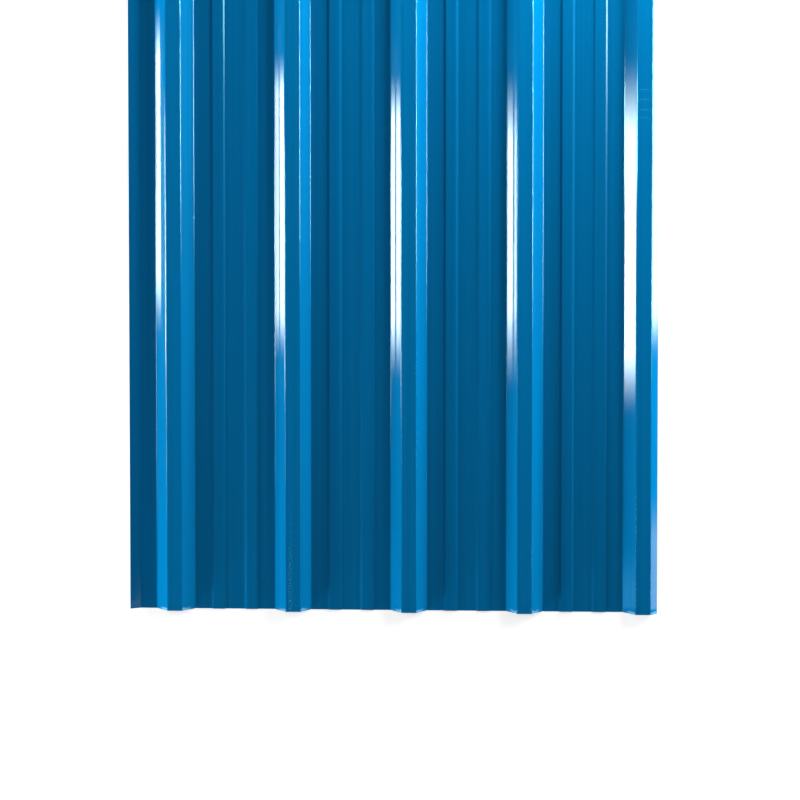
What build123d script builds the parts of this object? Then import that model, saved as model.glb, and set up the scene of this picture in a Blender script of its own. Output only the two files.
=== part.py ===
from build123d import *
import os

# Box profile roofing and cladding sheet, roll formed in one piece from a
# painted steel coil. All sizes are in millimetres. X runs across the sheet, Y
# along its ribs and Z up. The sheet lies on the undersides of its pans with its
# ribs upward. The underlap edge is at -X, and the overlap edge, which covers
# the next sheet's first rib, is at +X.

# Coil and length as sold
thickness = 0.5
sheet_length = 3000.0

# Cover width is from the middle of the first rib to the middle of the last
cover_width = 1000.0
rib_count = 5
rib_depth = 20.0
crown_width = 31.0
web_run = 22.5
pan_width = 171.0
rib_bend_radius = 2.5

# Two shallow stiffening swages in each pan
swage_margin = 35.0
swage_slope = 5.0
swage_flat = 21.5
swage_height = 2.2
swage_bend_radius = 4.0

# The underlap flange ends in a creased lip, and the overlap web is cut short
underlap_flange = 34.5
underlap_lip_run = 22.5
underlap_lip_rise = 6.0
overlap_web_run = 14.0

# The two ribs at the laps are rolled with a wider inner web, so that an overlap
# rib drops over an underlap rib: they share what the pans and ribs leave
inner_rib_width = crown_width + 2 * web_run
lap_web_run = (cover_width - crown_width - (rib_count - 1) * pan_width
               - (rib_count - 2) * inner_rib_width) / 2


def rib_corners(foot, left_run, right_run):
    """Corners of a rib that starts at the given foot, between its two webs."""
    crown = foot + left_run
    return [
        (foot, 0),
        (crown, rib_depth),
        (crown + crown_width, rib_depth),
        (crown + crown_width + right_run, 0),
    ]


def swage_corners(foot):
    """Corners of one raised swage that starts at the given foot."""
    return [
        (foot, 0),
        (foot + swage_slope, swage_height),
        (foot + swage_slope + swage_flat, swage_height),
        (foot + 2 * swage_slope + swage_flat, 0),
    ]


def pan_corners(rib_foot):
    """Corners of the two swages in the pan that starts at the given rib foot."""
    swage_width = 2 * swage_slope + swage_flat
    right_swage = rib_foot + pan_width - swage_margin - swage_width
    return swage_corners(rib_foot + swage_margin) + swage_corners(right_swage)


def underlap_corners(rib_foot):
    """Outer end and crease of the lip on the edge that goes under the next sheet."""
    crease = rib_foot - underlap_flange
    return [(crease - underlap_lip_run, underlap_lip_rise), (crease, 0)]


def shortened_overlap_web(rib):
    """The last rib with its outer web cut off part of the way down."""
    crown_x, crown_z = rib[2]
    drop = rib_depth * overlap_web_run / lap_web_run
    return rib[:3] + [(crown_x + overlap_web_run, crown_z - drop)]


def section_corners():
    """Every corner of the section from edge to edge, and each one's bend radius."""
    foot = -cover_width / 2 - crown_width / 2 - web_run
    corners = underlap_corners(foot)
    radii = [rib_bend_radius] * len(corners)
    for number in range(rib_count):
        left_run = lap_web_run if number == rib_count - 1 else web_run
        right_run = lap_web_run if number in (0, rib_count - 1) else web_run
        rib = rib_corners(foot, left_run, right_run)
        if number == rib_count - 1:
            rib = shortened_overlap_web(rib)
            pan = []
        else:
            pan = pan_corners(rib[-1][0])
        corners += rib + pan
        radii += [rib_bend_radius] * len(rib) + [swage_bend_radius] * len(pan)
        foot = rib[-1][0] + pan_width
    return corners, radii[1:-1]


def middle_line():
    """Line through the middle of the metal across the section, drawn in XY."""
    corners, radii = section_corners()
    return FilletPolyline(*corners, radius=radii)


def section_face(line):
    """The line thickened to the metal's gauge and set on end in the XZ plane."""
    outline = offset(line, amount=thickness / 2, side=Side.BOTH)
    return Plane.XZ * make_face(outline)


def box_profile_sheet(line):
    """The section drawn out to the sheet's length, centred and set on Z = 0."""
    sheet = extrude(section_face(line), amount=sheet_length)
    box = sheet.bounding_box()
    return sheet.translate((-box.center().X, -box.center().Y, -box.min.Z))


if __name__ == "__main__":
    os.makedirs("parts", exist_ok=True)
    profile = middle_line()
    sheet = box_profile_sheet(profile)
    export_step(sheet, "parts/box_profile_sheet.step")
    print("flat coil width", round(profile.length, 1))
    print("lap web run", round(lap_web_run, 2))
    print("size", sheet.bounding_box().size, "volume", round(sheet.volume))
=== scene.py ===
"""Dresses and lights a painted box profile sheet for its studio picture.

The sheet lies on a white floor with its ribs upward, and a long lens looks down on its
near end. One tree of geometry nodes rolls the sheet from its section: every bend gets
its radius, the section is drawn out along the sheet, and the cut end gets the small
marks of the shear. Small classes hold the sheet's sizes, its finishes, the lamps and
the camera.
"""

import logging
import math
from dataclasses import dataclass
from enum import Enum

import bpy
from mathutils import Matrix, Vector


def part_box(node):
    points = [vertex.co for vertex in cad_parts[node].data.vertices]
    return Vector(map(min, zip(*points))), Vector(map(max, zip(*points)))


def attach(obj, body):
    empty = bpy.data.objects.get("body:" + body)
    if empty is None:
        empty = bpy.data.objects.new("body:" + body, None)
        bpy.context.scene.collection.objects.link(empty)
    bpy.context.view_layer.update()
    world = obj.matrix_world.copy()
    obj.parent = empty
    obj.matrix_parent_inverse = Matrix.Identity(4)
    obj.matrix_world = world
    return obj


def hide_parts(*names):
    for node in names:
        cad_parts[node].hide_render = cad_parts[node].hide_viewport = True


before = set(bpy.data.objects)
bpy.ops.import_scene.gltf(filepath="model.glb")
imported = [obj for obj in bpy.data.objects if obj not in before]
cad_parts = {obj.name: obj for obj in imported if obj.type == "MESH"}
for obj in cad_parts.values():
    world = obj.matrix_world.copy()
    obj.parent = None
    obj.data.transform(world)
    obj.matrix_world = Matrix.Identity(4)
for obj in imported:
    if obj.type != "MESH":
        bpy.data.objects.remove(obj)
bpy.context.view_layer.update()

LOG = logging.getLogger("box_profile_sheet")
SHEET_NODE = "box_profile_sheet"
MM = 0.001
WHITE = (1.0, 1.0, 1.0)
Colour = tuple[float, float, float]
Socket = bpy.types.NodeSocket


class Signal:
    """A number on a wire of a node tree, with Python's operators."""

    def __init__(self, graph: "Graph", socket: Socket) -> None:
        """Keeps the wire's tree and the socket that it comes from."""
        self.graph = graph
        self.socket = socket

    def _math(self, operation: str, *others: "Number") -> "Signal":
        """Adds a Math node that takes this signal first."""
        return self.graph.math(operation, self, *others)

    def __add__(self, other: "Number") -> "Signal":
        """This signal plus another."""
        return self._math("ADD", other)

    def __sub__(self, other: "Number") -> "Signal":
        """This signal less another."""
        return self._math("SUBTRACT", other)

    def __rsub__(self, other: float) -> "Signal":
        """A number less this signal."""
        return self.graph.math("SUBTRACT", other, self)

    def __mul__(self, other: "Number") -> "Signal":
        """This signal times another."""
        return self._math("MULTIPLY", other)

    def __truediv__(self, other: "Number") -> "Signal":
        """This signal over another."""
        return self._math("DIVIDE", other)

    def __neg__(self) -> "Signal":
        """This signal with its sign turned."""
        return self._math("MULTIPLY", -1.0)

    def __abs__(self) -> "Signal":
        """This signal without its sign."""
        return self._math("ABSOLUTE")

    def sine(self) -> "Signal":
        """The sine of this signal, in radians."""
        return self._math("SINE")

    def rounded(self) -> "Signal":
        """This signal to the nearest whole number."""
        return self._math("ROUND")

    def at_least(self, low: "Number") -> "Signal":
        """This signal, held above a low end."""
        return self._math("MAXIMUM", low)

    def at_most(self, high: "Number") -> "Signal":
        """This signal, held below a high end."""
        return self._math("MINIMUM", high)

    def ramp(self, start: float, end: float) -> "Signal":
        """Rises smoothly from 0 at start to 1 at end, which may be the lower of the two.

        Args:
            start: Value at which the ramp leaves 0.
            end: Value at which the ramp reaches 1.

        Returns:
            The smoothed ramp.
        """
        low, high = sorted((start, end))
        rise = self.graph.add(
            "ShaderNodeMapRange", {"interpolation_type": "SMOOTHSTEP"},
            {"Value": self, "From Min": low, "From Max": high},
        )
        result = Signal(self.graph, rise.outputs["Result"])
        return result if start < end else 1 - result

    def bump_at(self, centre: float, reach: float) -> "Signal":
        """A smooth hill that is 1 at its centre and 0 past its reach on either side.

        Args:
            centre: Value at the hill's top.
            reach: Distance from the top to the foot.

        Returns:
            The hill.
        """
        return abs(self - centre).ramp(reach, 0.0)

    def between(self, low: float, high: float, soft: float) -> "Signal":
        """1 between two values, with a soft edge inside each.

        Args:
            low: Value at which the band starts.
            high: Value at which the band ends.
            soft: Width of each soft edge.

        Returns:
            The band.
        """
        return self.ramp(low, low + soft) * self.ramp(high, high - soft)


Number = Signal | float
Value = Number | Socket | int | bool | tuple | str


class Graph:
    """A node tree that nodes are added to by type, settings and socket values."""

    def __init__(self, tree: bpy.types.NodeTree) -> None:
        """Keeps the tree that nodes go into."""
        self.tree = tree

    def add(self, kind: str, settings: dict[str, object] | None = None,
            values: dict[str | int, Value] | None = None) -> bpy.types.Node:
        """Adds one node.

        Args:
            kind: Blender's name for the type of node.
            settings: Properties that are set first.
            values: What each input socket gets, by name or number: a number or a link.

        Returns:
            The new node.
        """
        node = self.tree.nodes.new(kind)
        for name, setting in (settings or {}).items():
            setattr(node, name, setting)
        for key, value in (values or {}).items():
            self.feed(node.inputs[key], value)
        return node

    def feed(self, socket: Socket, value: Value) -> None:
        """Links a value to a socket, or sets it there.

        Args:
            socket: The input that gets the value.
            value: A signal or an output to link, or a plain value.
        """
        if isinstance(value, Signal):
            value = value.socket
        if isinstance(value, Socket):
            self.tree.links.new(value, socket)
        else:
            socket.default_value = value

    def math(self, operation: str, *operands: Number) -> Signal:
        """Adds a Math node.

        Args:
            operation: The node's operation.
            operands: Its inputs in order, signals or numbers.

        Returns:
            The node's output.
        """
        node = self.add("ShaderNodeMath", {"operation": operation}, dict(enumerate(operands)))
        return Signal(self, node.outputs[0])

    def split(self, vector: Socket) -> tuple[Signal, Signal, Signal]:
        """The three parts of a vector."""
        node = self.add("ShaderNodeSeparateXYZ", values={0: vector})
        return tuple(Signal(self, output) for output in node.outputs)

    def vector(self, x: Number, y: Number, z: Number) -> Socket:
        """A vector put together from three numbers."""
        return self.add("ShaderNodeCombineXYZ", values={0: x, 1: y, 2: z}).outputs[0]

    def noise(self, place: Socket, scale: float, detail: float = 2.0,
              roughness: float = 0.5) -> Signal:
        """Smooth noise from 0 to 1.

        Args:
            place: The vector that the noise is read at.
            scale: Waves in a unit of that vector.
            detail: Octaves on top of the first.
            roughness: Strength of each octave beside the one before.

        Returns:
            The noise, about 0.5 on average.
        """
        node = self.add(
            "ShaderNodeTexNoise", {"noise_dimensions": "3D"},
            {"Vector": place, "Scale": scale, "Detail": detail, "Roughness": roughness},
        )
        return Signal(self, node.outputs[0])

    def blend(self, share: Number, under: Value, over: Value) -> Socket:
        """Mixes two colours.

        Args:
            share: How much of the upper colour shows, from 0 to 1.
            under: The lower colour.
            over: The upper colour.

        Returns:
            The mixed colour.
        """
        node = self.add("ShaderNodeMix", {"data_type": "RGBA"}, {"Factor": share})
        colours = [socket for socket in node.inputs if socket.type == "RGBA"]
        for socket, colour in zip(colours, (under, over)):
            self.feed(socket, colour)
        return next(socket for socket in node.outputs if socket.type == "RGBA")


def new_material(name: str) -> tuple[bpy.types.Material, Graph, bpy.types.Node]:
    """Makes a material.

    Args:
        name: The material's name.

    Returns:
        The material, its node tree and its shader.
    """
    material = bpy.data.materials.new(name)
    material.use_nodes = True
    return material, Graph(material.node_tree), material.node_tree.nodes["Principled BSDF"]


def new_object(name: str, data: bpy.types.ID) -> bpy.types.Object:
    """Makes an object in the scene.

    Args:
        name: The object's name.
        data: Its mesh, light or camera.

    Returns:
        The object.
    """
    made = bpy.data.objects.new(name, data)
    bpy.context.scene.collection.objects.link(made)
    return made


class Corner(Enum):
    """Where a corner of the section lies, with its bend radius in millimetres."""

    NO_BEND = 0.0
    RIB = 2.5
    SWAGE = 4.0
    WEB_RELIEF = 20.0


Corners = list[tuple[float, float, Corner]]


@dataclass(frozen=True)
class Section:
    """The rolled section across the sheet, in metres, with the solid's sizes.

    The last four fields are small irregularities that the solid leaves out. They spread the
    feet of the middle ribs' left webs. They lift points of left webs out of their plane,
    each given by its share of the way up and its lift. They make the right slope of two
    swages steeper, each given by its pan and its place in the pan.
    """

    cover_width: float = 1000 * MM
    rib_count: int = 5
    rib_depth: float = 20 * MM
    crown_width: float = 31 * MM
    web_run: float = 22.5 * MM
    pan_width: float = 171 * MM
    swage_margin: float = 35 * MM
    swage_slope: float = 5 * MM
    swage_flat: float = 21.5 * MM
    swage_height: float = 2.2 * MM
    flange: float = 34.5 * MM
    lip_run: float = 22.5 * MM
    lip_rise: float = 6 * MM
    overlap_web_run: float = 14 * MM
    thickness: float = 0.5 * MM
    left_foot_spread: tuple[float, ...] = (0.0, 0.6 * MM, 1.2 * MM, 1.85 * MM, 0.0)
    left_web_relief: tuple[tuple[tuple[float, float], ...], ...] = (
        ((0.50, 0.18 * MM),),
        ((0.40, 0.0), (0.46, -0.031 * MM), (0.52, 0.0)),
        ((0.40, 0.0), (0.47, -0.030 * MM), (0.54, 0.0)),
        ((0.56, 0.0), (0.64, -0.034 * MM), (0.72, 0.0)),
        (),
    )
    tight_swages: tuple[tuple[int, int], ...] = ((0, 0), (3, 1))
    tight_slope: float = 4.6 * MM

    def left_web(self, number: int) -> tuple[float, float]:
        """Where a rib's left web stands.

        Args:
            number: The rib, counted from the underlap edge.

        Returns:
            X of the web's middle, and its slope, which is negative as the web faces left.
        """
        run = self.left_run(number)
        return self.crown_starts[number] - run / 2, -math.atan2(self.rib_depth, run)

    def left_run(self, number: int) -> float:
        """Run of a rib's left web, which a little play in the rolls spreads at its foot."""
        last = number == self.rib_count - 1
        return (self.lap_web_run if last else self.web_run) + self.left_foot_spread[number]

    @property
    def lap_web_run(self) -> float:
        """Run of the wider inner webs of the two ribs at the laps."""
        inner_rib = self.crown_width + 2 * self.web_run
        pans = (self.rib_count - 1) * self.pan_width
        ribs = (self.rib_count - 2) * inner_rib
        return (self.cover_width - self.crown_width - pans - ribs) / 2

    @property
    def crown_starts(self) -> list[float]:
        """X of each crown's left corner, in the sheet's own frame."""
        pitch = self.crown_width + 2 * self.web_run + self.pan_width
        lap_pitch = pitch - self.web_run + self.lap_web_run
        starts = [self.left_edge + self.lip_run + self.flange + self.web_run]
        for number in range(1, self.rib_count):
            at_lap = number in (1, self.rib_count - 1)
            starts.append(starts[-1] + (lap_pitch if at_lap else pitch))
        return starts

    @property
    def left_edge(self) -> float:
        """X of the underlap edge, which the sheet's box is centred by."""
        span = (self.lip_run + self.flange + self.web_run + self.crown_width / 2
                + self.cover_width + self.crown_width / 2 + self.overlap_web_run)
        return -span / 2

    def _rib(self, number: int) -> Corners:
        """Corners of one rib from foot to foot, the last one's outer web cut short.

        Args:
            number: The rib, counted from the underlap edge.

        Returns:
            X, Z and kind of each corner.
        """
        last = number == self.rib_count - 1
        crown = self.crown_starts[number]
        right_run = self.lap_web_run if number == 0 else self.web_run
        far = crown + self.crown_width
        corners = [
            (crown - self.left_run(number), 0.0, Corner.RIB),
            *self._relief(number),
            (crown, self.rib_depth, Corner.RIB),
            (far, self.rib_depth, Corner.RIB),
        ]
        if last:
            drop = self.rib_depth * self.overlap_web_run / self.lap_web_run
            return corners + [(far + self.overlap_web_run, self.rib_depth - drop, Corner.NO_BEND)]
        return corners + [(far + right_run, 0.0, Corner.RIB)]

    def _relief(self, number: int) -> Corners:
        """Points up a rib's left web, which stand a little out of its plane.

        Args:
            number: The rib, counted from the underlap edge.

        Returns:
            X, Z and kind of each point.
        """
        run = self.left_run(number)
        foot = self.crown_starts[number] - run
        slant = math.hypot(run, self.rib_depth)
        points = []
        for share, lift in self.left_web_relief[number]:
            x = foot + share * run - lift * self.rib_depth / slant
            z = share * self.rib_depth + lift * run / slant
            points.append((x, z, Corner.WEB_RELIEF))
        return points

    def _swage(self, foot: float, right_slope: float) -> Corners:
        """Corners of one raised swage.

        Args:
            foot: X of its left foot.
            right_slope: Run of its right slope.

        Returns:
            X, Z and kind of each corner.
        """
        top = foot + self.swage_slope
        return [
            (foot, 0.0, Corner.SWAGE),
            (top, self.swage_height, Corner.SWAGE),
            (top + self.swage_flat, self.swage_height, Corner.SWAGE),
            (top + self.swage_flat + right_slope, 0.0, Corner.SWAGE),
        ]

    def _swage_starts(self, foot: float) -> tuple[float, float]:
        """X of the left foot of both swages in the pan that starts at a rib's foot."""
        width = 2 * self.swage_slope + self.swage_flat
        return foot + self.swage_margin, foot + self.pan_width - self.swage_margin - width

    def _pan(self, number: int, foot: float) -> Corners:
        """Corners of the two swages in one pan.

        Args:
            number: The pan, counted from the underlap edge.
            foot: X of the rib foot where the pan starts.

        Returns:
            X, Z and kind of each corner.
        """
        corners = []
        for place, start in enumerate(self._swage_starts(foot)):
            tight = (number, place) in self.tight_swages
            corners += self._swage(start, self.tight_slope if tight else self.swage_slope)
        return corners

    @property
    def tight_slope_places(self) -> list[float]:
        """X of the middle of each swage slope that is rolled tight."""
        places = []
        for number, place in self.tight_swages:
            start = self._swage_starts(self._rib(number)[-1][0])[place]
            places.append(start + self.swage_slope + self.swage_flat + self.tight_slope / 2)
        return places

    def corners(self) -> Corners:
        """Every corner of the section.

        Returns:
            X, Z and kind of each, from the underlap edge to the overlap edge.
        """
        crease = self.left_edge + self.lip_run
        line = [(self.left_edge, self.lip_rise, Corner.NO_BEND), (crease, 0.0, Corner.RIB)]
        for number in range(self.rib_count):
            rib = self._rib(number)
            line += rib
            if number < self.rib_count - 1:
                line += self._pan(number, rib[-1][0])
        return line

    def supported_corners(self, clearance: float, shortest: float) -> Corners:
        """The corners, with a point on each flat just clear of its bends.

        Args:
            clearance: Distance from a corner to the points on the flats beside it.
            shortest: Flats that are no longer than this get no points.

        Returns:
            The longer list, which keeps the flats flat where the mesh is shaded smooth.
        """
        corners = self.corners()
        line = [corners[0]]
        for before, after in zip(corners, corners[1:]):
            run = math.hypot(after[0] - before[0], after[1] - before[1])
            for step in (clearance / run, 1 - clearance / run):
                if run > shortest:
                    x = before[0] + (after[0] - before[0]) * step
                    z = before[1] + (after[1] - before[1]) * step
                    line.append((x, z, Corner.NO_BEND))
            line.append(after)
        return line


@dataclass(frozen=True)
class Specks:
    """A band along a rib where the coat is chipped in small specks."""

    x: float
    half_width: float
    start: float
    end: float
    amount: float

    def share(self, x: Signal, y: Signal) -> Signal:
        """How much the band lowers the threshold at which a speck shows."""
        across = x.between(self.x - self.half_width, self.x + self.half_width, self.half_width * 0.6)
        return across * y.between(self.start, self.end, (self.end - self.start) * 0.3) * self.amount


@dataclass(frozen=True)
class Scratch:
    """One hair-fine scratch along the sheet."""

    x: float
    start: float
    end: float
    strength: float
    half_width: float = 0.7 * MM

    def share(self, x: Signal, y: Signal) -> Signal:
        """How much of the scratch shows."""
        return x.bump_at(self.x, self.half_width) * y.between(self.start, self.end, 6 * MM) * self.strength


@dataclass(frozen=True)
class WearAndSheen:
    """Where handling and the shear have chipped and scratched the coat, where crushed web ends get crazing
    with a painted highlight, and where dent marks are painted lighter as their reflection.
    """

    section: Section
    length: float
    arc_sag: float = 13.0
    arc_half_width: float = 1.6 * MM
    arc_places: tuple[float, ...] = (-0.321, -0.343, -0.366, -0.384)
    craze_and_sheen_reach: float = 13 * MM
    chip_grain: float = 420.0
    chip_edge: tuple[float, float] = (0.825, 0.855)
    chip_cover: float = 0.6

    @property
    def specks(self) -> tuple[Specks, ...]:
        """Bands of chips, by the rib that they lie on."""
        crown = self.section.crown_starts
        far = [start + self.section.crown_width for start in crown]
        near_end = -self.length / 2
        return (
            Specks(crown[1] + 12 * MM, 11 * MM, near_end - 0.1, -1.18, 0.16),
            Specks(crown[1] + 8 * MM, 7 * MM, near_end - 0.05, -1.33, 0.07),
            Specks(crown[1] + 24 * MM, 6 * MM, near_end - 0.02, -1.44, 0.12),
            Specks(crown[2] + 1 * MM, 3 * MM, -1.32, -0.78, 0.20),
            Specks(far[2], 3 * MM, -1.32, -0.78, 0.20),
            Specks(far[3], 3 * MM, -1.42, -1.32, 0.23),
            Specks(crown[3], 4 * MM, near_end - 0.02, -1.475, 0.24),
            Specks(far[3], 4 * MM, near_end - 0.02, -1.475, 0.24),
            Specks(crown[4], 3 * MM, near_end - 0.1, -1.12, 0.23),
            Specks(far[4], 3 * MM, -1.49, -1.37, 0.23),
        )

    @property
    def scratches(self) -> tuple[Scratch, ...]:
        """The scratches in the first two pans and on the second rib."""
        crown = self.section.crown_starts
        return (
            Scratch(crown[0] + 168 * MM, -1.49, -1.30, 0.07),
            Scratch(crown[0] + 96 * MM, -1.495, -1.45, 0.12),
            Scratch(crown[1] + 24.5 * MM, -1.20, -1.135, 0.12),
            Scratch(crown[1] + 157 * MM, -1.495, -1.45, 0.10),
            Scratch(crown[1] + 167 * MM, -1.49, -1.46, 0.08),
        )

    def chips(self, graph: Graph, x: Signal, y: Signal) -> Signal:
        """Where primer shows through chips and scratches.

        Args:
            graph: The coat's node tree.
            x: Place across the sheet.
            y: Place along the sheet.

        Returns:
            The primer's share, from 0 to 1.
        """
        likely = graph.noise(graph.vector(x, y * 0.7, 3.0), self.chip_grain, 1.0, 0.5)
        for band in self.specks:
            likely = likely + band.share(x, y)
        chips = likely.ramp(*self.chip_edge) * self.chip_cover
        broken = graph.noise(graph.vector(x, y * 0.2, 5.0), 300.0, 1.0).ramp(0.35, 0.55)
        for scratch in self.scratches:
            chips = chips + scratch.share(x, y) * broken
        return chips.at_most(1.0)

    def craze_and_sheen(self, graph: Graph, x: Signal, y: Signal, z: Signal) -> Signal:
        """Where the webs that the shear has crushed get crazing and a painted highlight.

        Args:
            graph: The coat's node tree.
            x: Place across the sheet.
            y: Place along the sheet.
            z: Height above the floor.

        Returns:
            The share of the crazing and the painted highlight, from 0 to 1.
        """
        from_end = self.length / 2 - abs(y)
        ragged = graph.noise(graph.vector(x, 0.0, 0.0), 90.0, 2.0) * self.craze_and_sheen_reach
        on_web = z.ramp(5 * MM, 13 * MM) * z.ramp(self.section.rib_depth, self.section.rib_depth - 1 * MM)
        return (from_end - ragged).ramp(0.5 * MM, -1.5 * MM) * on_web

    def arcs(self, x: Signal, y: Signal) -> Signal:
        """Four faint rub marks across the last crown, painted lighter as the reflection of their small
        dents.

        Args:
            x: Place across the sheet.
            y: Place along the sheet.

        Returns:
            How much of the marks shows, from 0 to 1.
        """
        half = self.section.crown_width / 2
        middle = self.section.crown_starts[-1] + half
        from_middle = x - middle
        bowed = y + from_middle * from_middle * self.arc_sag
        marks = [bowed.bump_at(place, self.arc_half_width) for place in self.arc_places]
        return (marks[0] + marks[1] + marks[2] + marks[3]) * x.bump_at(middle, half * 1.4)


@dataclass(frozen=True)
class Coat:
    """The glossy blue coil coating on the weather side."""

    colour: Colour = (0.0, 0.166, 0.410)
    streak_colour: Colour = (0.0, 0.147, 0.360)
    # Lighter blue of the arc marks on the last crown: handling marks with a painted reflection of their
    # small dents.
    dent_marks_and_sheen: Colour = (0.05, 0.30, 0.55)
    # Paler blue near the cut end, for crazing and a painted highlight on the crushed web ends.
    craze_and_sheen_colour: Colour = (0.16, 0.42, 0.64)
    primer: Colour = (0.08, 0.46, 0.62)
    arc_cover: float = 0.5
    craze_and_sheen_cover: float = 0.7
    craze_roughness: float = 0.2
    gloss_roughness: float = 0.05
    line_height: float = 2e-6
    skin_height: float = 2e-7

    def build(self, wear_and_sheen: WearAndSheen) -> bpy.types.Material:
        """Makes the coat's material.

        Args:
            wear_and_sheen: Where the coat is chipped and scratched, where crazing with a painted highlight
                lies, and where dent marks are painted lighter.

        Returns:
            The finished material.
        """
        material, graph, shader = new_material("coil_coat_blue")
        place = graph.add("ShaderNodeTexCoord").outputs["Object"]
        x, y, z = graph.split(place)
        streaks = graph.noise(graph.vector(x * 90.0, y * 0.5, 0.0), 1.0, 4.0, 0.65)
        base = graph.blend(streaks.ramp(0.35, 0.7), (*self.colour, 1.0), (*self.streak_colour, 1.0))
        chips = wear_and_sheen.chips(graph, x, y)
        craze_and_sheen = wear_and_sheen.craze_and_sheen(graph, x, y, z)
        # Lighter arc marks on the last crown: handling marks with a painted reflection of their small
        # dents.
        dent_marks_and_sheen = graph.blend(wear_and_sheen.arcs(x, y) * self.arc_cover, base, (*self.dent_marks_and_sheen, 1.0))
        # Paler near the cut end: crazing and a painted highlight on the crushed web ends.
        craze_and_sheen_colour = graph.blend(craze_and_sheen * self.craze_and_sheen_cover, dent_marks_and_sheen, (*self.craze_and_sheen_colour, 1.0))
        colour = graph.blend(chips, craze_and_sheen_colour, (*self.primer, 1.0))
        dull = streaks * 0.01 + craze_and_sheen * self.craze_roughness + self.gloss_roughness
        lines = graph.noise(graph.vector(x * 140.0, y * 0.4, 7.0), 1.0, 2.0, 0.5)
        skin = graph.noise(place, 900.0, 1.0)
        height = lines * self.line_height + skin * self.skin_height
        bump = graph.add("ShaderNodeBump", values={"Strength": 1.0, "Distance": 1.0, "Height": height})
        graph.feed(shader.inputs["Base Color"], colour)
        graph.feed(shader.inputs["Roughness"], dull)
        graph.feed(shader.inputs["Normal"], bump.outputs[0])
        shader.inputs["IOR"].default_value = 1.5
        return material


@dataclass(frozen=True)
class BackCoat:
    """The thin pale backing coat on the underside."""

    colour: Colour = (0.42, 0.44, 0.45)

    def build(self) -> bpy.types.Material:
        """Makes the backing coat's material.

        Returns:
            The finished material.
        """
        material, graph, shader = new_material("backing_coat_grey")
        place = graph.add("ShaderNodeTexCoord").outputs["Object"]
        x, y, _ = graph.split(place)
        streaks = graph.noise(graph.vector(x * 50.0, y * 0.6, 2.0), 1.0, 3.0, 0.6)
        darker = tuple(part * 0.86 for part in self.colour)
        graph.feed(shader.inputs["Base Color"],
                    graph.blend(streaks, (*self.colour, 1.0), (*darker, 1.0)))
        graph.feed(shader.inputs["Roughness"], streaks * 0.15 + 0.38)
        return material


@dataclass(frozen=True)
class CutEdge:
    """The sheared rim, where bare steel and zinc show."""

    colour: Colour = (0.16, 0.19, 0.23)

    def build(self) -> bpy.types.Material:
        """Makes the cut edge's material.

        Returns:
            The finished material.
        """
        material, graph, shader = new_material("sheared_steel_edge")
        place = graph.add("ShaderNodeTexCoord").outputs["Object"]
        grain = graph.noise(place, 800.0, 2.0)
        darker = tuple(part * 0.6 for part in self.colour)
        graph.feed(shader.inputs["Base Color"],
                    graph.blend(grain, (*self.colour, 1.0), (*darker, 1.0)))
        graph.feed(shader.inputs["Roughness"], grain * 0.2 + 0.35)
        shader.inputs["Metallic"].default_value = 0.7
        return material


class Knob(Enum):
    """Named inputs of the roll forming tree, with their types of socket."""

    LENGTH = ("Length", "Float")
    ROWS = ("Rows", "Int")
    BEND_STEPS = ("Bend Steps", "Int")
    WAVE_HEIGHT = ("Wave Height", "Float")
    CRUSH = ("End Crush", "Float")
    CRUSH_REACH = ("End Crush Reach", "Float")
    CURL = ("Corner Curl", "Float")
    CURL_REACH = ("Corner Curl Reach", "Float")
    SEED = ("Seed", "Float")
    COAT = ("Coat", "Material")


Knobs = dict[Knob, Socket]


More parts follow.
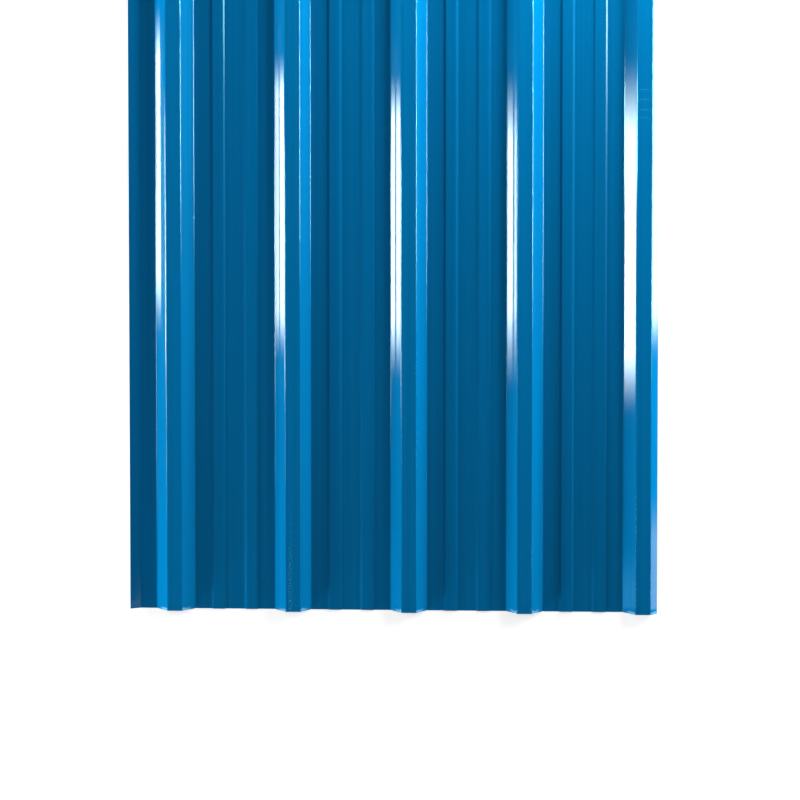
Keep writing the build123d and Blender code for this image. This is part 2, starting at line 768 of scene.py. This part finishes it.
@dataclass(frozen=True)
class RollFormer:
    """Rolls the sheet from its section with a tree of geometry nodes.

    Each of the tree's inputs takes the field of the same name. Flats longer than
    shortest_flat get a point at flat_margin from each of their corners, and the mesh is
    shaded sharp where it turns by more than sharp_turn.
    """

    section: Section
    coat: bpy.types.Material
    length: float
    rows: int = 72
    bend_steps: int = 5
    wave_height: float = 0.1 * MM
    crush: float = 0.05
    crush_reach: float = 16 * MM
    curl: float = 1.2 * MM
    curl_reach: float = 150 * MM
    seed: float = 11.0
    flat_margin: float = 3.2 * MM
    shortest_flat: float = 8 * MM
    sharp_turn: float = math.radians(40)

    def tree(self) -> tuple[bpy.types.NodeTree, dict[Knob, str]]:
        """Builds the node tree.

        Returns:
            The tree, and the identifier of each named input's socket.
        """
        tree = bpy.data.node_groups.new("roll_form_sheet", "GeometryNodeTree")
        tree.interface.new_socket("Geometry", in_out="INPUT", socket_type="NodeSocketGeometry")
        keys = {}
        for knob in Knob:
            name, kind = knob.value
            socket = tree.interface.new_socket(name, in_out="INPUT", socket_type=f"NodeSocket{kind}")
            keys[knob] = socket.identifier
        tree.interface.new_socket("Geometry", in_out="OUTPUT", socket_type="NodeSocketGeometry")
        graph = Graph(tree)
        source = graph.add("NodeGroupInput")
        knobs = {knob: source.outputs[knob.value[0]] for knob in Knob}
        profile = self._profile(graph, source.outputs["Geometry"], knobs)
        rolled = self._roll(graph, profile, self._grid(graph, profile, knobs), knobs)
        shaped = self._shear_marks(graph, rolled, knobs)
        smooth = graph.add("GeometryNodeSetShadeSmooth", values={"Geometry": shaped})
        realized = graph.add("GeometryNodeRealizeInstances", values={0: smooth.outputs[0]})
        painted = graph.add("GeometryNodeSetMaterial",
                            values={"Geometry": realized.outputs[0], "Material": knobs[Knob.COAT]})
        graph.add("NodeGroupOutput", values={0: painted.outputs[0]})
        return tree, keys

    def _profile(self, graph: Graph, line: Socket, knobs: Knobs) -> Socket:
        """Rounds every corner of the section's line by its own bend radius.

        Args:
            graph: The tree that the nodes go into.
            line: The section as a line of straight edges.
            knobs: The tree's named inputs.

        Returns:
            The section as a curve.
        """
        curve = graph.add("GeometryNodeMeshToCurve", values={"Mesh": line})
        radius = graph.add("GeometryNodeInputNamedAttribute", {"data_type": "FLOAT"},
                           {"Name": "bend_radius"})
        bent = graph.add(
            "GeometryNodeFilletCurve", {"mode": "POLY"},
            {"Curve": curve.outputs[0], "Count": knobs[Knob.BEND_STEPS],
             "Radius": radius.outputs[0], "Limit Radius": True},
        )
        return bent.outputs[0]

    def _grid(self, graph: Graph, profile: Socket,
              knobs: Knobs) -> tuple[Socket, Signal, Signal]:
        """Makes a grid with a column for each point of the section.

        Args:
            graph: The tree that the nodes go into.
            profile: The section as a curve.
            knobs: The tree's named inputs.

        Returns:
            The grid, each point's column number, and its place along the sheet, from 0 to 1.
        """
        count = graph.add("GeometryNodeAttributeDomainSize", {"component": "CURVE"},
                          {"Geometry": profile}).outputs["Point Count"]
        grid = graph.add(
            "GeometryNodeMeshGrid",
            values={"Size X": 1.0, "Size Y": 1.0, "Vertices X": count, "Vertices Y": knobs[Knob.ROWS]},
        )
        x, y, _ = graph.split(graph.add("GeometryNodeInputPosition").outputs[0])
        column = ((x + 0.5) * (Signal(graph, count) - 1)).rounded()
        return grid.outputs["Mesh"], column, y + 0.5

    def _roll(self, graph: Graph, profile: Socket, grid: tuple[Socket, Signal, Signal],
              knobs: Knobs) -> Socket:
        """Moves each column onto the section and draws it out, with close rows at the ends.

        Args:
            graph: The tree that the nodes go into.
            profile: The section as a curve.
            grid: The grid that becomes the sheet, with its column numbers and places.
            knobs: The tree's named inputs.

        Returns:
            The rolled sheet.
        """
        mesh, column, along = grid
        position = graph.add("GeometryNodeInputPosition").outputs[0]
        point = graph.add(
            "GeometryNodeSampleIndex", {"data_type": "FLOAT_VECTOR", "domain": "POINT"},
            {"Geometry": profile, "Value": position, "Index": column},
        )
        x, _, z = graph.split(point.outputs[0])
        y = ((along - 0.5) * math.pi).sine() * Signal(graph, knobs[Knob.LENGTH]) * 0.5
        return graph.add("GeometryNodeSetPosition",
                         values={"Geometry": mesh, "Position": graph.vector(x, y, z)}).outputs[0]

    def _shear_marks(self, graph: Graph, sheet: Socket, knobs: Knobs) -> Socket:
        """Adds long shallow waves, crushed rib ends and the lip's bent corner.

        Args:
            graph: The tree that the nodes go into.
            sheet: The rolled sheet.
            knobs: The tree's named inputs.

        Returns:
            The sheet with its marks.
        """
        knob = {key: Signal(graph, socket) for key, socket in knobs.items() if key is not Knob.COAT}
        x, y, z = graph.split(graph.add("GeometryNodeInputPosition").outputs[0])
        half = knob[Knob.LENGTH] * 0.5
        from_end = half - abs(y)
        near = 1 - (from_end / knob[Knob.CRUSH_REACH]).at_most(1.0)
        crush = -(z * near * near * knob[Knob.CRUSH])
        wave_place = graph.vector(x * 5.0, y * 1.6, knob[Knob.SEED])
        wave = graph.noise(wave_place, 1.0, 1.0) * knob[Knob.WAVE_HEIGHT]
        crease = self.section.left_edge + self.section.lip_run
        up_lip = ((crease - x) / self.section.lip_run).at_least(0.0)
        near_corner = (1 - (y + half) / knob[Knob.CURL_REACH]).at_least(0.0)
        curl = up_lip * near_corner * near_corner * knob[Knob.CURL]
        offset = graph.vector(0.0, 0.0, crush + wave + curl)
        return graph.add("GeometryNodeSetPosition",
                         values={"Geometry": sheet, "Offset": offset}).outputs[0]

    def _section_mesh(self) -> bpy.types.Mesh:
        """Makes the section's line of straight edges.

        Returns:
            A vertex for each corner, which carries its bend radius.
        """
        corners = self.section.supported_corners(self.flat_margin, self.shortest_flat)
        half_gauge = self.section.thickness / 2
        mesh = bpy.data.meshes.new("section_line")
        mesh.from_pydata([(x, 0.0, z + half_gauge) for x, z, _ in corners],
                         [(i, i + 1) for i in range(len(corners) - 1)], [])
        radii = mesh.attributes.new("bend_radius", "FLOAT", "POINT")
        for item, (_, _, corner) in zip(radii.data, corners):
            item.value = corner.value * MM
        return mesh

    def roll(self, finishes: list[bpy.types.Material]) -> bpy.types.Object:
        """Makes the finished sheet as a plain mesh.

        Args:
            finishes: The coat, the backing coat and the cut edge, in that order.

        Returns:
            The sheet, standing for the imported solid.
        """
        tree, keys = self.tree()
        rough = new_object("sheet_blank", self._section_mesh())
        for finish in finishes:
            rough.data.materials.append(finish)
        former = rough.modifiers.new("roll_form", "NODES")
        former.node_group = tree
        for knob, key in keys.items():
            former[key] = getattr(self, knob.name.lower())
        gauge = rough.modifiers.new("gauge", "SOLIDIFY")
        gauge.thickness = self.section.thickness
        gauge.offset = 0.0
        gauge.use_even_offset = True
        gauge.use_quality_normals = True
        gauge.material_offset = 1
        gauge.material_offset_rim = 2
        view = bpy.context.evaluated_depsgraph_get()
        mesh = bpy.data.meshes.new_from_object(rough.evaluated_get(view), depsgraph=view)
        bpy.data.objects.remove(rough)
        mesh.name = "painted_sheet"
        mesh.materials.clear()
        for finish in finishes:
            mesh.materials.append(finish)
        mesh.set_sharp_from_angle(angle=self.sharp_turn)
        return new_object("painted_sheet", mesh)


@dataclass(frozen=True)
class Panel:
    """A rectangular lamp that stands along the sheet and faces its length.

    Its light dies away over the lengths that fades gives for its near and its far end.
    """

    name: str
    place: tuple[float, float, float]
    length: float
    breadth: float
    radiance: float
    fills: bool = True
    shines: bool = False
    facing_x: float = 0.0
    fades: tuple[float, float] = (0.0, 0.0)
    tint: Colour = WHITE

    def hang(self) -> None:
        """Puts the lamp in the scene, to fill the colour or to shine in the gloss, or both."""
        data = bpy.data.lights.new(self.name, "AREA")
        data.shape = "RECTANGLE"
        data.size = self.length
        data.size_y = self.breadth
        data.energy = self.radiance * math.pi * self.length * self.breadth
        data.color = self.tint
        if any(self.fades):
            self._fade_ends(data)
        lamp = new_object(self.name, data)
        lamp.visible_camera = False
        lamp.visible_diffuse = self.fills
        lamp.visible_glossy = self.shines
        along = Vector((0.0, 1.0, 0.0))
        back = Vector((self.place[0] - self.facing_x, 0.0, self.place[2])).normalized()
        turn = Matrix((along, back.cross(along), back)).transposed()
        lamp.matrix_world = Matrix.Translation(self.place) @ turn.to_4x4()

    def _fade_ends(self, data: bpy.types.Light) -> None:
        """Lets the lamp's light die away towards its two ends.

        Args:
            data: The lamp's light data, whose nodes this turns on.
        """
        data.use_nodes = True
        graph = Graph(data.node_tree)
        along = graph.split(graph.add("ShaderNodeNewGeometry").outputs["Parametric"])[0]
        near = (along * self.length / self.fades[0]).at_most(1.0)
        far = ((1 - along) * self.length / self.fades[1]).at_most(1.0)
        glow = near * far
        graph.feed(data.node_tree.nodes["Emission"].inputs["Strength"], glow * glow)


@dataclass(frozen=True)
class Gleam:
    """A bright band on one slope of the sheet, which says where its lamp hangs.

    The lamp stands where the camera's lines of sight go after they meet the slope at the
    two ends of the band.
    """

    name: str
    x: float
    slope: float
    start: float
    end: float
    radiance: float
    breadth: float
    lamp_x: float
    fades: tuple[float, float] = (0.0, 0.0)
    tint: Colour = (0.86, 1.0, 1.0)
    height: float = 10 * MM

    def _mirrored(self, eye: Vector, along: float) -> Vector:
        """Follows one line of sight by way of the slope to the lamp.

        Args:
            eye: Where the camera stands.
            along: Place along the sheet where the sight meets the slope.

        Returns:
            The place where the mirrored sight reaches the lamp's own x.
        """
        spot = Vector((self.x, along, self.height))
        sight = (eye - spot).normalized()
        normal = Vector((math.sin(self.slope), 0.0, math.cos(self.slope)))
        ray = 2 * sight.dot(normal) * normal - sight
        return spot + ray * ((self.lamp_x - self.x) / ray.x)

    def panel(self, eye: Vector) -> Panel:
        """The lamp whose mirror image is the band.

        Args:
            eye: Where the camera stands.

        Returns:
            The lamp, not yet in the scene.
        """
        near = self._mirrored(eye, self.start)
        far = self._mirrored(eye, self.end)
        place = (near + far) / 2
        return Panel(self.name, tuple(place), far.y - near.y, self.breadth, self.radiance,
                     fills=False, shines=True, facing_x=self.x, fades=self.fades, tint=self.tint)


@dataclass(frozen=True)
class Streak:
    """The white streak on one rib's left web, between two places along the sheet."""

    start: float
    end: float
    fades: tuple[float, float]
    breadth: float
    steeper: float = 0.0


@dataclass(frozen=True)
class Studio:
    """The white floor, the world and the lamps.

    The flatter fields say how much flatter smooth shading shows a slope than it is.
    """

    section: Section
    eye: Vector
    near_end: float
    floor_reach: float = 60.0
    floor_colour: Colour = (0.85, 0.85, 0.86)
    near_side: float = 2.4
    far_side: float = 5.0
    mirror_side: float = 1.2
    outer_side: float = 2.2
    floor_glow: float = 0.53
    side_glow: float = 0.62
    glow_ramp_start: float = 20 * MM
    glow_ramp_end: float = 60 * MM
    world_fill: float = 0.12
    world_shine: float = 0.02
    streak_radiance: float = 28.0
    line_tint: Colour = (0.40, 1.0, 1.0)
    swage_flatter: float = math.radians(1.28)
    outer_web_flatter: float = math.radians(0.39)
    lip_slope: float = math.radians(16.6)
    bend_slope: float = math.radians(30)
    streaks: tuple[Streak, ...] = (
        Streak(-0.891, -0.141, (0.14, 0.12), 36 * MM, math.radians(0.33)),
        Streak(-0.940, -0.244, (0.115, 0.094), 26 * MM, math.radians(-0.18)),
        Streak(-0.984, -0.285, (0.14, 0.11), 32 * MM),
        Streak(-1.006, -0.280, (0.20, 0.17), 38 * MM, math.radians(0.17)),
        Streak(-1.054, -0.250, (0.14, 0.18), 90 * MM, math.radians(0.25)),
    )

    @property
    def fills(self) -> list[Panel]:
        """Soft boxes low on both sides, where no web mirrors them to the camera.

        Each has its name, its place, its length and breadth, and its radiance.
        """
        near, far = self.near_side, self.far_side
        return [
            Panel("left_near", (-near, 0.4, 0.25), 1.4, 0.2, 22.1),
            Panel("left_floor_far", (-far, 0.9, 0.22), 2.6, 0.22, 35.9),
            Panel("left_low_far", (-far, 0.9, 0.6), 2.6, 0.4, 36.6),
            Panel("left_box_far", (-far, 0.9, 1.3), 2.6, 0.8, 18.4),
            Panel("left_end_lip", (-1.5, -3.0, 0.06), 1.0, 0.08, 10.2),
            Panel("left_end_floor", (-1.6, -3.0, 0.2), 1.0, 0.2, 20.4),
            Panel("left_end_close", (-1.6, -3.0, 0.6), 1.0, 0.3, 13.2),
            Panel("left_end_middle", (-3.0, -4.2, 0.25), 1.6, 0.25, 18.7),
            Panel("left_end_low", (-4.0, -5.2, 0.3), 2.4, 0.3, 19.6),
            Panel("left_end_box", (-4.0, -5.2, 0.8), 2.4, 0.5, 27.2),
            Panel("left_high", (-near, -2.0, 2.2), 1.4, 0.9, 2.2),
            Panel("right_near", (near, 1.0, 0.25), 1.8, 0.2, 24.5, shines=True),
            Panel("right_box", (near, 1.0, 1.1), 1.8, 0.6, 26.2, shines=True),
            Panel("right_low_far", (far, 0.6, 0.5), 2.6, 0.6, 40.4, shines=True),
            Panel("right_end_floor", (1.6, -3.0, 0.25), 1.0, 0.2, 6.6),
            Panel("right_end_low", (4.0, -5.2, 0.4), 2.4, 0.4, 12.3),
            Panel("corner_low", (1.5, 0.7, 0.35), 0.8, 0.4, 11.5, shines=True),
            Panel("corner_close", (0.9, 0.7, 0.4), 0.8, 0.4, 16.4, shines=True),
            Panel("corner_high", (1.0, 1.0, 1.0), 0.8, 0.4, 1.5, shines=True),
            Panel("first_web_skim", (-far, 0.6, 0.03), 3.0, 0.04, 250.0),
            Panel("last_web_skim", (1.5, -1.25, 0.022), 1.0, 0.03, 100.0),
        ]

    @property
    def web_streaks(self) -> list[Gleam]:
        """The white streaks on the left webs and on the outer web."""
        gleams = []
        for number, streak in enumerate(self.streaks):
            middle, slope = self.section.left_web(number)
            gleams.append(Gleam(f"streak_{number + 1}", middle, slope - streak.steeper, streak.start,
                                streak.end, self.streak_radiance, streak.breadth, -self.mirror_side,
                                streak.fades))
        web, slope = self._outer_web
        gleams.append(Gleam("outer_web_streak", web, slope, start=-0.920, end=0.10,
                            radiance=self.streak_radiance, breadth=0.08, lamp_x=self.outer_side,
                            fades=(0.10, 0.10)))
        return gleams

    @property
    def _outer_web(self) -> tuple[float, float]:
        """X of the outer web's middle, and its slope as it is shaded."""
        section = self.section
        middle = section.crown_starts[-1] + section.crown_width + section.overlap_web_run / 2
        return middle, math.atan2(section.rib_depth, section.lap_web_run) - self.outer_web_flatter

    @property
    def sheens(self) -> list[Gleam]:
        """The faint sheens at the near end, on the outer web, the lip corner and the last left web."""
        web, slope = self._outer_web
        last_web, last_slope = self.section.left_web(self.section.rib_count - 1)
        return [
            Gleam("outer_web_sheen", web, slope, start=-1.575, end=-1.221, radiance=3.2,
                  breadth=0.12, lamp_x=self.outer_side, fades=(0.04, 0.10), tint=WHITE),
            Gleam("lip_corner_sheen", self.section.left_edge, self.lip_slope, start=-1.56, end=-1.40,
                  radiance=0.8, breadth=0.40, lamp_x=self.outer_side, fades=(0.02, 0.08),
                  tint=WHITE),
            Gleam("last_web_sheen", last_web, last_slope, start=-1.56, end=-1.34, radiance=1.9,
                  breadth=0.5, lamp_x=-2.0, fades=(0.02, 0.10), tint=(0.14, 0.55, 1.0)),
        ]

    @property
    def thin_lines(self) -> list[Gleam]:
        """The thin bright lines on two swages and along the bends of the ribs."""
        section = self.section
        slope = math.atan2(section.swage_height, section.tight_slope) - self.swage_flatter
        first, last = section.tight_slope_places
        return [
            Gleam("first_swage_line", first, slope, start=-0.26, end=-0.05, radiance=30.0,
                  breadth=1.6, lamp_x=30.0, fades=(0.20, 0.05), tint=self.line_tint),
            Gleam("last_swage_line", last, slope, start=-0.36, end=-0.05, radiance=28.0,
                  breadth=1.6, lamp_x=30.0, fades=(0.30, 0.05), tint=(0.7, 1.0, 1.0)),
            Gleam("left_bend_lines", -0.12, -self.bend_slope, start=-0.76, end=-0.42, radiance=60.0,
                  breadth=1.2, lamp_x=-6.0, fades=(0.1, 0.1), tint=self.line_tint),
            Gleam("right_bend_lines", -0.06, self.bend_slope, start=-0.86, end=0.10, radiance=120.0,
                  breadth=1.0, lamp_x=6.0, fades=(0.25, 0.1), tint=self.line_tint),
        ]

    def build(self) -> None:
        """Lays the floor and hangs the lamps."""
        self._floor()
        self._world()
        gleams = self.web_streaks + self.sheens + self.thin_lines
        for lamp in self.fills + [gleam.panel(self.eye) for gleam in gleams]:
            lamp.hang()

    def _floor(self) -> None:
        """Lays a wide pale floor that turns pure white to the camera and keeps shadows.

        Its glow to the camera is stronger beside the sheet than below the cut end.
        """
        mesh = bpy.data.meshes.new("floor")
        reach = self.floor_reach
        mesh.from_pydata([(-reach, -reach, 0), (reach, -reach, 0), (reach, reach, 0), (-reach, reach, 0)],
                         [], [(0, 1, 2, 3)])
        floor = new_object("floor", mesh)
        material, graph, shader = new_material("white_floor")
        shader.inputs["Base Color"].default_value = (*self.floor_colour, 1.0)
        shader.inputs["Roughness"].default_value = 0.9
        shader.inputs["Specular IOR Level"].default_value = 0.0
        seen = Signal(graph, graph.add("ShaderNodeLightPath").outputs["Is Camera Ray"])
        y = graph.split(graph.add("ShaderNodeTexCoord").outputs["Object"])[1]
        beside = y.ramp(self.near_end - self.glow_ramp_start, self.near_end + self.glow_ramp_end)
        strength = seen * (beside * (self.side_glow - self.floor_glow) + self.floor_glow)
        glow = graph.add("ShaderNodeEmission", values={"Color": (*WHITE, 1.0), "Strength": strength})
        both = graph.add("ShaderNodeAddShader", values={0: shader.outputs[0], 1: glow.outputs[0]})
        output = material.node_tree.nodes["Material Output"]
        graph.feed(output.inputs["Surface"], both.outputs[0])
        mesh.materials.append(material)

    def _world(self) -> None:
        """A dim world that is white only where the camera sees it."""
        world = bpy.data.worlds.new("studio")
        world.use_nodes = True
        bpy.context.scene.world = world
        graph = Graph(world.node_tree)
        background = world.node_tree.nodes["Background"]
        rays = graph.add("ShaderNodeLightPath")
        seen = Signal(graph, rays.outputs["Is Camera Ray"])
        mirrored = Signal(graph, rays.outputs["Is Glossy Ray"])
        dim = mirrored * (self.world_shine - self.world_fill) + self.world_fill
        graph.feed(background.inputs["Color"], (*WHITE, 1.0))
        graph.feed(background.inputs["Strength"], seen.at_least(dim))


@dataclass(frozen=True)
class PictureCamera:
    """A long lens that looks down on the sheet's near end."""

    pixels: float = 800.0
    sheet_width_in_pixels: float = 528.6
    sheet_middle_column: float = 393.65
    end_row: float = 610.7
    tilt: float = math.radians(18.7)
    sideways: float = math.radians(1.5)
    distance: float = 42.0
    sensor: float = 36.0

    @property
    def sight(self) -> Vector:
        """Direction from the sheet to the camera."""
        return Vector((math.sin(self.sideways), math.sin(self.tilt) * math.cos(self.sideways),
                       math.cos(self.tilt) * math.cos(self.sideways)))

    def build(self, low: Vector, high: Vector) -> Vector:
        """Places the camera.

        Args:
            low: The sheet's lowest corner.
            high: The sheet's highest corner.

        Returns:
            Where the camera stands.
        """
        metres_per_pixel = (high.x - low.x) / self.sheet_width_in_pixels
        middle = self.pixels / 2
        aim_x = (high.x + low.x) / 2 + (middle - self.sheet_middle_column) * metres_per_pixel
        aim_y = low.y + (self.end_row - middle) * metres_per_pixel / math.cos(self.tilt)
        back = self.sight
        data = bpy.data.cameras.new("picture_camera")
        data.sensor_width = self.sensor
        data.lens = self.sensor * self.distance / (self.pixels * metres_per_pixel)
        data.clip_end = 10 * self.distance
        camera = new_object("picture_camera", data)
        up = Vector((0, 1, 0))
        right = up.cross(back).normalized()
        up = back.cross(right)
        turn = Matrix((right, up, back)).transposed()
        place = Vector((aim_x, aim_y, 0.0)) + back * self.distance
        camera.matrix_world = Matrix.Translation(place) @ turn.to_4x4()
        bpy.context.scene.camera = camera
        return place


def main() -> None:
    """Builds the sheet, the studio and the camera, and reports each piece."""
    logging.basicConfig(level=logging.INFO, format="%(name)s: %(message)s")
    section = Section()
    low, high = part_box(SHEET_NODE)
    length = high.y - low.y
    coat = Coat().build(WearAndSheen(section, length))
    former = RollFormer(section, coat, length)
    sheet = former.roll([coat, BackCoat().build(), CutEdge().build()])
    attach(sheet, "root")
    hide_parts(SHEET_NODE)
    LOG.info("sheet of %d faces", len(sheet.data.polygons))
    eye = PictureCamera().build(low, high)
    Studio(section, eye, low.y).build()
    scene = bpy.context.scene
    scene.view_settings.view_transform = "Standard"


if __name__ == "__main__":
    main()
